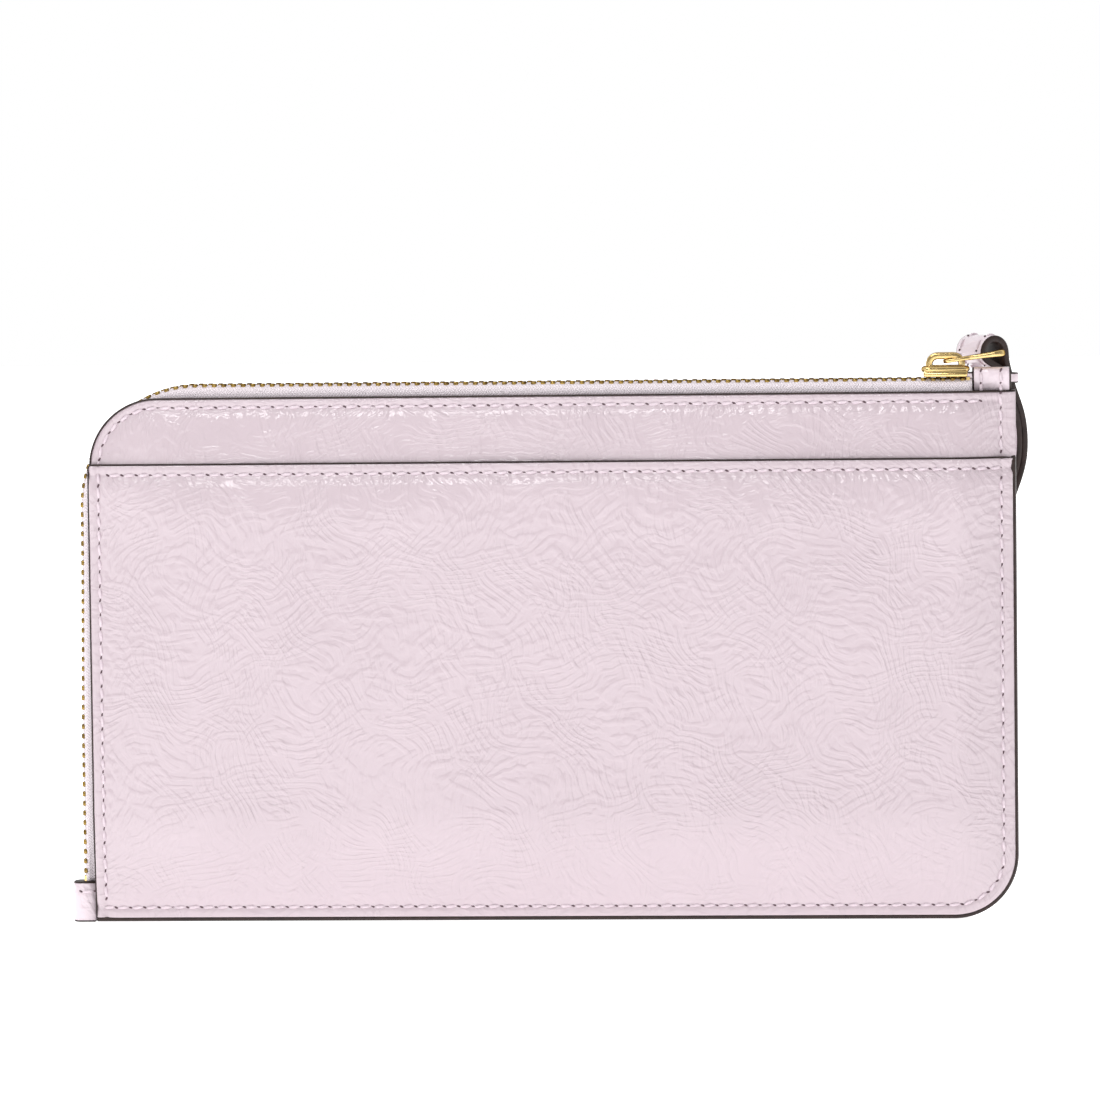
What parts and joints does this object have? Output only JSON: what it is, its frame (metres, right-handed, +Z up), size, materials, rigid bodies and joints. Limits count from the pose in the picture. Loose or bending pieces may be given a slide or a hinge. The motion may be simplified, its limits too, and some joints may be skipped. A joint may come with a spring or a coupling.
{
  "type": "wristlet wallet",
  "caption": "Slim wristlet wallet in crinkled pale pink patent leather with an L-shaped gold zipper, a rear slip pocket and a looped wrist strap.",
  "frame": {"origin": "on the flat sewn bottom edge, midway along the panels and under the zipper's middle plane", "axes": "+Z up, +X from the zipper's side edge to the sewn side with the strap, -Y out of the face with the slip pocket"},
  "size_m": [0.2158, 0.0286, 0.1303],
  "materials": {
    "patent_leather": "glossy embossed crinkle",
    "slot_leather": "smooth",
    "strap_leather": "glossy outside, dark brown inside and edges",
    "edge_paint": "smooth semi-gloss",
    "stiffener_board": "matt",
    "lining_fabric": "woven satin",
    "zipper_tape": "herringbone weave",
    "gold_metal": "polished"
  },
  "bodies": {
    "wallet": {"back_panel": "patent_leather", "slip_pocket_panel": "patent_leather", "front_panel": "patent_leather", "seam_edge_paint": "edge_paint", "lower_end_tab": "patent_leather", "upper_end_tab": "patent_leather", "back_board": "stiffener_board", "front_board": "stiffener_board", "back_lining": "lining_fabric", "front_lining": "lining_fabric", "card_slot_backing": "lining_fabric", "card_slot_upper": "slot_leather", "card_slot_middle": "slot_leather", "card_slot_lower": "slot_leather", "note_pocket": "lining_fabric", "zipper_tape_back": "zipper_tape", "zipper_tape_front": "zipper_tape", "zipper_teeth_back": "gold_metal", "zipper_teeth_front": "gold_metal", "zipper_top_stops": "gold_metal", "zipper_bottom_stop": "gold_metal", "strap_anchor_tab": "patent_leather"},
    "slider": {"zipper_slider": "gold_metal"},
    "pull": {"zipper_pull": "gold_metal"},
    "strap": {"wrist_strap": "strap_leather", "strap_keeper": "patent_leather"}
  },
  "joints": [
    {"name": "slider_travel", "type": "slide", "parent": "wallet", "child": "slider", "axis": [-1, 0, 0], "range_m": [0, 0.16]},
    {"name": "pull_swing", "type": "hinge", "parent": "slider", "child": "pull", "pos_m": [0.0884, 0, 0.125], "axis": [0, -1, 0], "range_deg": [0, 164]},
    {"name": "strap_swing", "type": "hinge", "parent": "wallet", "child": "strap", "pos_m": [0.0986, 0.0127, 0.1199], "axis": [0, -1, 0], "range_deg": [-90, 170]}
  ]
}
